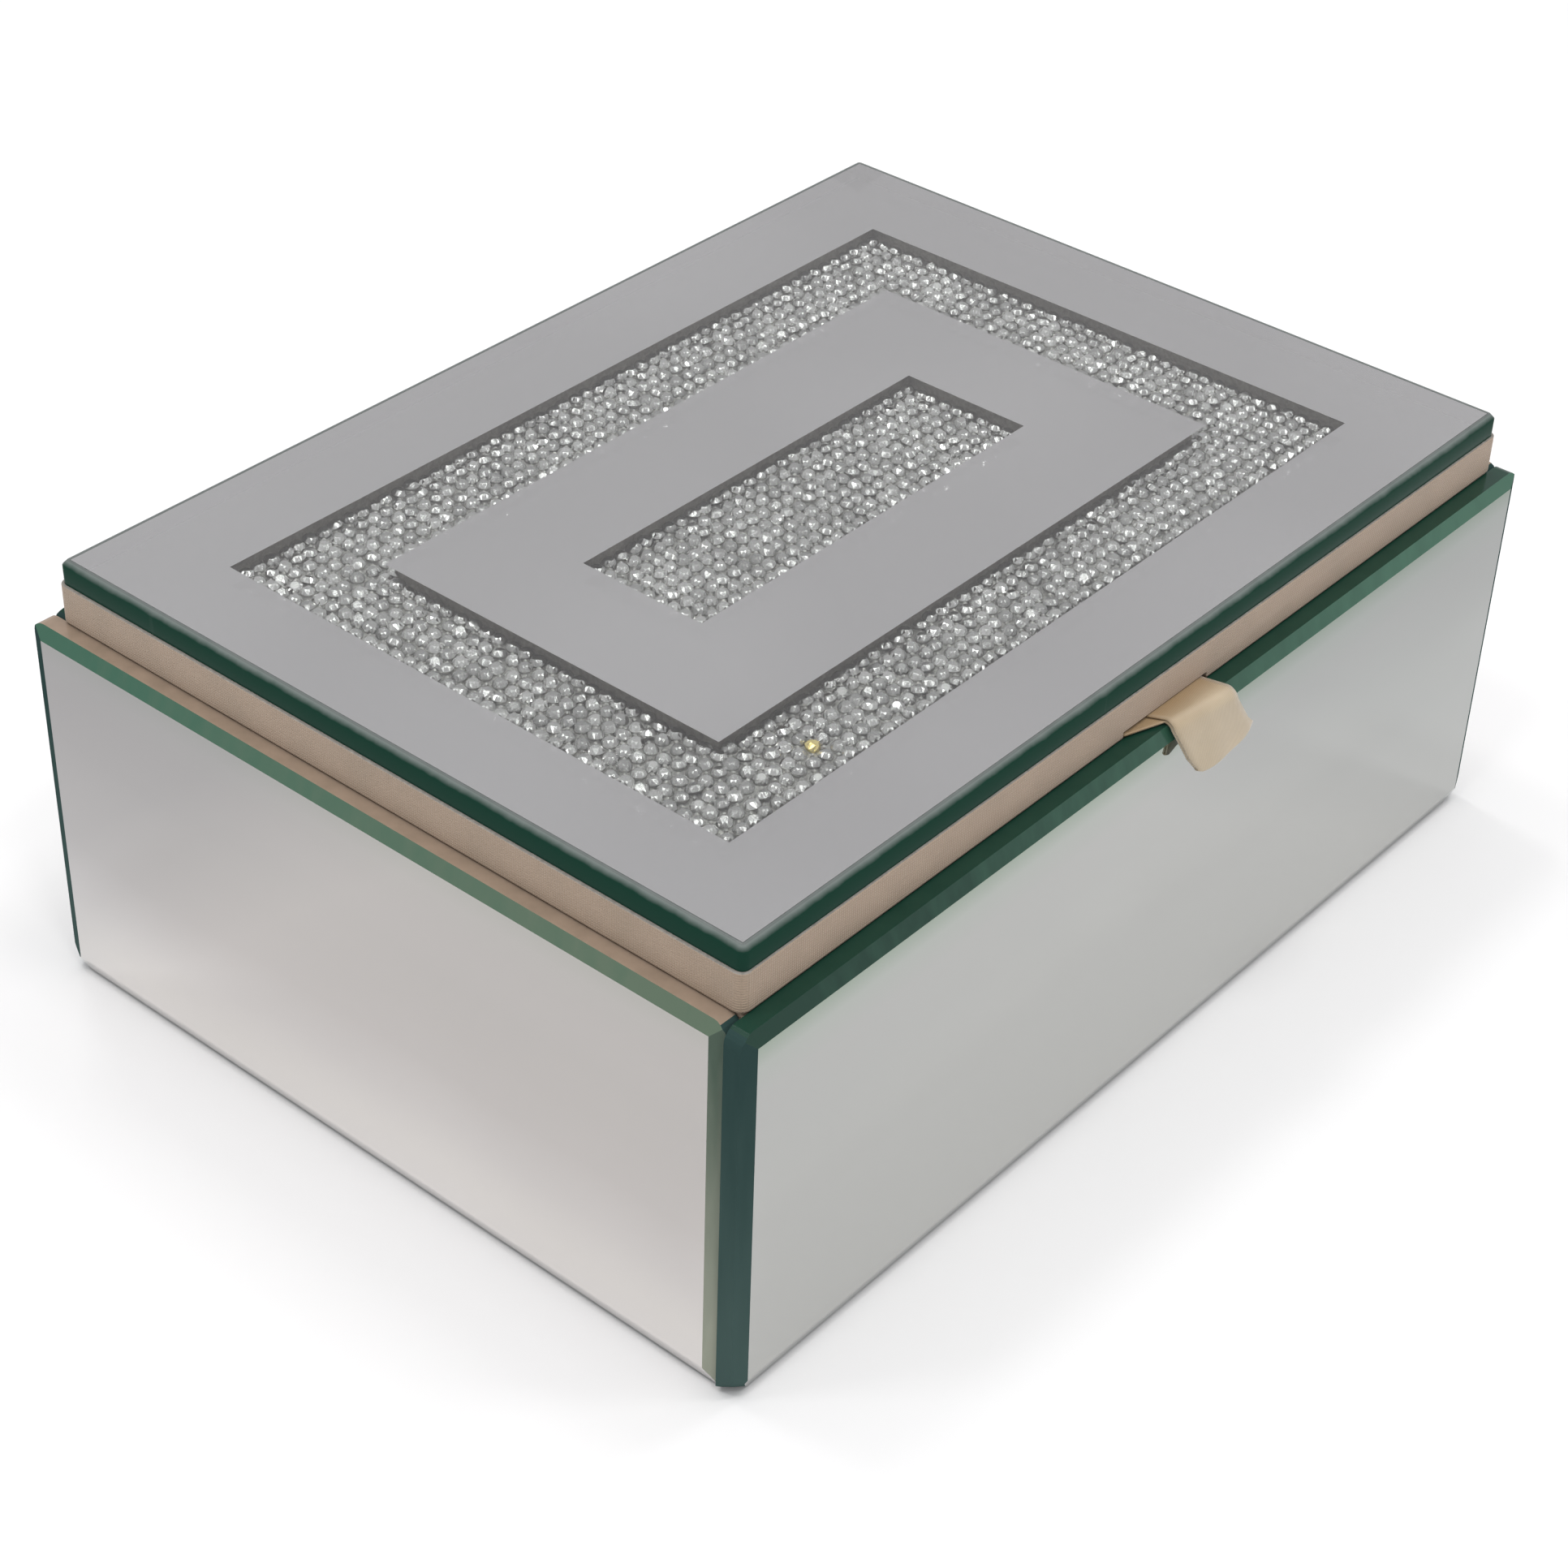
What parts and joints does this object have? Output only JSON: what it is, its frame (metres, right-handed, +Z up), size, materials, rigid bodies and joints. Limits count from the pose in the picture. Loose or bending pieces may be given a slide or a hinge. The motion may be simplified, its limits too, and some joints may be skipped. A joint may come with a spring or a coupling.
{
  "type": "vanity trinket box",
  "caption": "Rectangular mirrored trinket box: bevelled mirror glass sides, a hinged mirror lid with crystals under clear windows, a satin pull tab, and ring rolls and trays inside.",
  "frame": {"origin": "centre of the underside of the base, on the surface it stands on", "axes": "+Z up, +X to the right along the front, -Y out of the front with the pull tab, hinges along the +Y edge"},
  "size_m": [0.204, 0.1536, 0.0815],
  "materials": {
    "mirror_glass": "silvered glass with bevelled, polished green edges",
    "wrapped_board": "champagne cloth wrapped over board",
    "board": "raw fibreboard",
    "felt": "dark felt",
    "velvet": "champagne velvet on card",
    "padding": "champagne velvet over foam",
    "crystal": "faceted clear rhinestones with foil backs",
    "satin": "champagne satin ribbon",
    "brass": "polished brass plate"
  },
  "bodies": {
    "body": {"base_felt": "felt", "base_panel": "board", "front_mirror_panel": "mirror_glass", "right_mirror_panel": "mirror_glass", "back_mirror_panel": "mirror_glass", "left_mirror_panel": "mirror_glass", "front_wall": "wrapped_board", "back_wall": "wrapped_board", "left_wall": "wrapped_board", "right_wall": "wrapped_board", "floor_liner": "velvet", "front_liner": "velvet", "back_liner": "velvet", "left_liner": "velvet", "right_liner": "velvet", "cross_divider": "velvet", "tray_divider": "velvet", "ring_roll_1": "padding", "ring_roll_2": "padding", "ring_roll_3": "padding", "ring_roll_4": "padding", "ring_roll_5": "padding", "hinge_left_body_leaf": "brass", "hinge_right_body_leaf": "brass", "hinge_left_pin": "brass", "hinge_right_pin": "brass", "body_screw_1": "brass", "body_screw_2": "brass", "body_screw_3": "brass", "body_screw_4": "brass"},
    "lid": {"lid_board": "wrapped_board", "lid_top_glass": "mirror_glass", "crystal_ring": "crystal", "crystal_bar": "crystal", "lid_pad": "padding", "ribbon_tab": "satin", "hinge_left_lid_leaf": "brass", "hinge_right_lid_leaf": "brass", "lid_screw_1": "brass", "lid_screw_2": "brass", "lid_screw_3": "brass", "lid_screw_4": "brass"}
  },
  "joints": [
    {"name": "lid_hinge", "type": "hinge", "parent": "body", "child": "lid", "pos_m": [0, 0.0732, 0.0722], "axis": [-1, 0, 0], "range_deg": [0, 95]}
  ]
}
